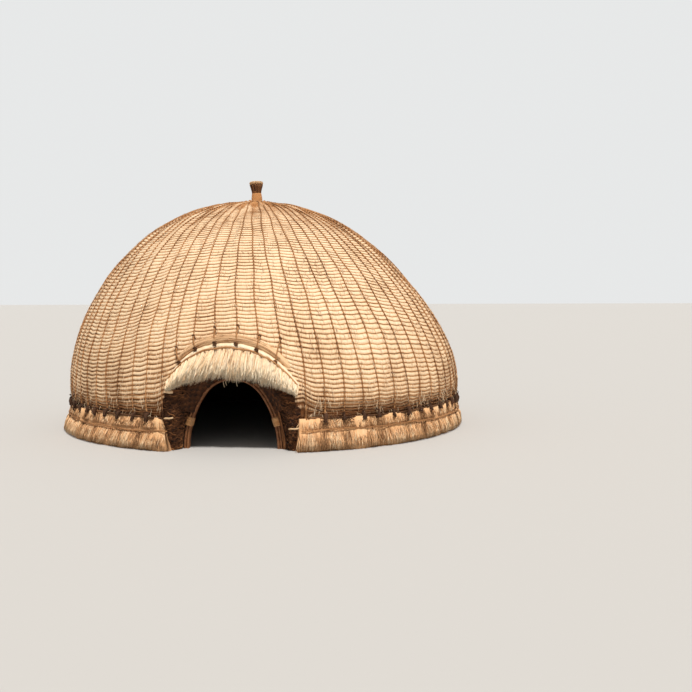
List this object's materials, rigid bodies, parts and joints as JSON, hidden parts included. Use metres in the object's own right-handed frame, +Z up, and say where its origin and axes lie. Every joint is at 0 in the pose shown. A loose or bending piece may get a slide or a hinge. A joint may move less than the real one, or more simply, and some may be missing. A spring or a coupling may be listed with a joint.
{
  "type": "domed grass beehive hut",
  "caption": "Round domed grass hut of thatch on bent saplings under a rope net, with a low arched doorway, a fringed hood and a finial.",
  "frame": {"origin": "middle of the hut's footprint, on the ground", "axes": "+Z up; the doorway faces -Y; +X is to the right of someone who stands in front of the door"},
  "size_m": [5.112, 5.1016, 3.0995],
  "materials": {
    "thatch": "sun-bleached grass stems, matt, laid down the slope",
    "jamb_grass": "dark brown brush and stems, matt, bound level",
    "arch_sapling": "peeled brown saplings, smooth, dull",
    "wrap_rope": "fine twisted grass cord wound tight",
    "peg_wood": "pale whittled sticks, dry and matt",
    "roll_grass": "brown grass in a bound roll",
    "fringe_grass": "pale cream grass, combed straight, frayed tips",
    "hood_rope": "twisted grass rope, stitched down",
    "skirt_grass": "loose tan grass in tufts with pale streaks",
    "net_rope": "twisted brown grass rope, hairy, matt",
    "knot_rope": "dark doubled grass rope, knotted",
    "frame_sapling": "smoke-darkened bent saplings with bark",
    "collar_grass": "tan cord wound in close turns",
    "brush_grass": "dark brown bound brush of stiff stems",
    "pad_grass": "pale grass pad, rounded and bound"
  },
  "bodies": {
    "root": {"thatch_wall_front_right": "thatch", "thatch_wall_right": "thatch", "thatch_wall_back_right": "thatch", "thatch_wall_back": "thatch", "thatch_wall_back_left": "thatch", "thatch_wall_left": "thatch", "thatch_wall_front_left": "thatch", "thatch_over_door": "thatch", "thatch_middle_right": "thatch", "thatch_middle_back": "thatch", "thatch_middle_left": "thatch", "thatch_middle_front": "thatch", "thatch_upper_right": "thatch", "thatch_upper_back": "thatch", "thatch_upper_left": "thatch", "thatch_upper_front": "thatch", "thatch_crown": "thatch", "door_jamb_left": "jamb_grass", "door_jamb_right": "jamb_grass", "door_arch": "arch_sapling", "door_arch_wraps": "wrap_rope", "door_pegs": "peg_wood", "door_roll": "roll_grass", "door_hood": "fringe_grass", "door_hood_rope": "hood_rope", "skirt_right": "skirt_grass", "skirt_back_right": "skirt_grass", "skirt_back_left": "skirt_grass", "skirt_left": "skirt_grass", "skirt_rope": "net_rope", "net_rows_lower": "net_rope", "net_rows_upper": "net_rope", "net_rings": "knot_rope", "net_uprights_right": "net_rope", "net_uprights_left": "net_rope", "net_crown_uprights_right": "net_rope", "net_crown_uprights_left": "net_rope", "net_foot_loops": "knot_rope", "frame_saplings_right": "frame_sapling", "frame_saplings_left": "frame_sapling", "frame_hoops": "frame_sapling", "finial_ring": "knot_rope", "finial_collar": "collar_grass", "finial_brush": "brush_grass", "finial_pad": "pad_grass"}
  },
  "joints": []
}
